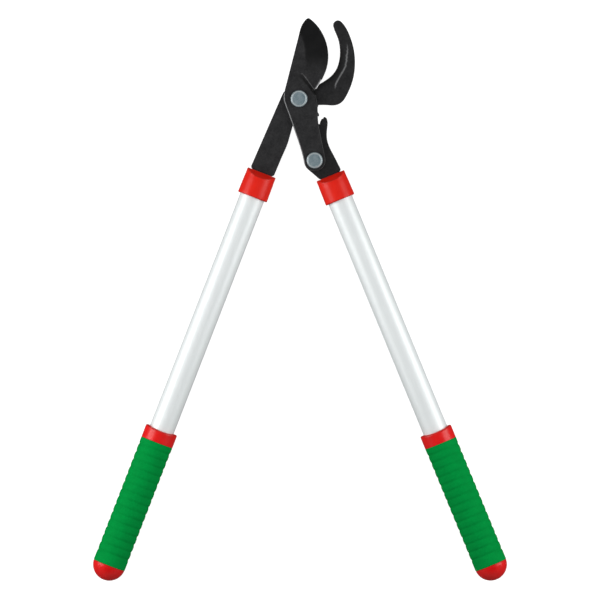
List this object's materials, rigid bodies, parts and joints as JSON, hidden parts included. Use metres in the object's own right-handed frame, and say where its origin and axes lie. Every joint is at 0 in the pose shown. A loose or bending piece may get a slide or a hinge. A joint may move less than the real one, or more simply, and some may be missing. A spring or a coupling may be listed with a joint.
{
  "type": "geared bypass lopper",
  "caption": "Two-handed bypass loppers with a geared compound head: curved coated blade passing a hooked jaw, tubular arms and soft rippled grips.",
  "frame": {"origin": "on the main pivot's axis at the bench plane, at the free end of the main pivot bolt, with the tool lying on its back", "axes": "+Z out of the bench, along both pivots, from the nuts to the round bolt heads; +Y towards the blade tip, away from the handles; +X towards the hook"},
  "size_m": [0.4885, 0.6639, 0.039],
  "materials": {
    "coated_steel": "satin black non-stick coating over forged steel, fine grain",
    "zinc_steel": "bright zinc plate with a blue-grey cast",
    "bare_steel": "plain ground steel",
    "bearing_bronze": "plain bearing bronze",
    "tube_aluminium": "satin clear-anodised drawn tube",
    "moulded_red": "glossy moulded plastic",
    "grip_green": "soft-touch thermoplastic elastomer, rippled",
    "inner_plastic": "glass-filled nylon, as moulded"
  },
  "bodies": {
    "hook_side": {"hook_jaw": "coated_steel", "main_pivot_bush": "bearing_bronze", "left_ferrule": "moulded_red", "left_tube": "tube_aluminium", "left_tang_core": "inner_plastic", "left_tang_pin": "bare_steel", "left_grip_core": "moulded_red", "left_grip_sleeve": "grip_green", "left_end_cap": "moulded_red"},
    "blade_arm": {"blade": "coated_steel", "main_pivot_bolt": "zinc_steel", "main_pivot_washer": "zinc_steel", "main_pivot_nut": "zinc_steel", "lower_pivot_bolt": "zinc_steel", "lower_pivot_washer": "zinc_steel", "lower_pivot_nut": "zinc_steel"},
    "right_handle": {"gear_tang": "coated_steel", "lower_pivot_bush": "bearing_bronze", "right_ferrule": "moulded_red", "right_tube": "tube_aluminium", "right_tang_core": "inner_plastic", "right_tang_pin": "bare_steel", "right_grip_core": "moulded_red", "right_grip_sleeve": "grip_green", "right_end_cap": "moulded_red"}
  },
  "joints": [
    {"name": "blade_pivot", "type": "hinge", "parent": "hook_side", "child": "blade_arm", "pos_m": [0, 0, 0.0195], "axis": [0, 0, 1], "range_deg": [-20, 24]},
    {"name": "handle_pivot", "type": "hinge", "parent": "blade_arm", "child": "right_handle", "pos_m": [0.0184, -0.0727, 0.0195], "axis": [0, 0, 1], "range_deg": [-11.25, 13.5]}
  ],
  "couplings": [
    {"joint": "handle_pivot", "follows": "blade_pivot", "ratio": 0.5625}
  ]
}
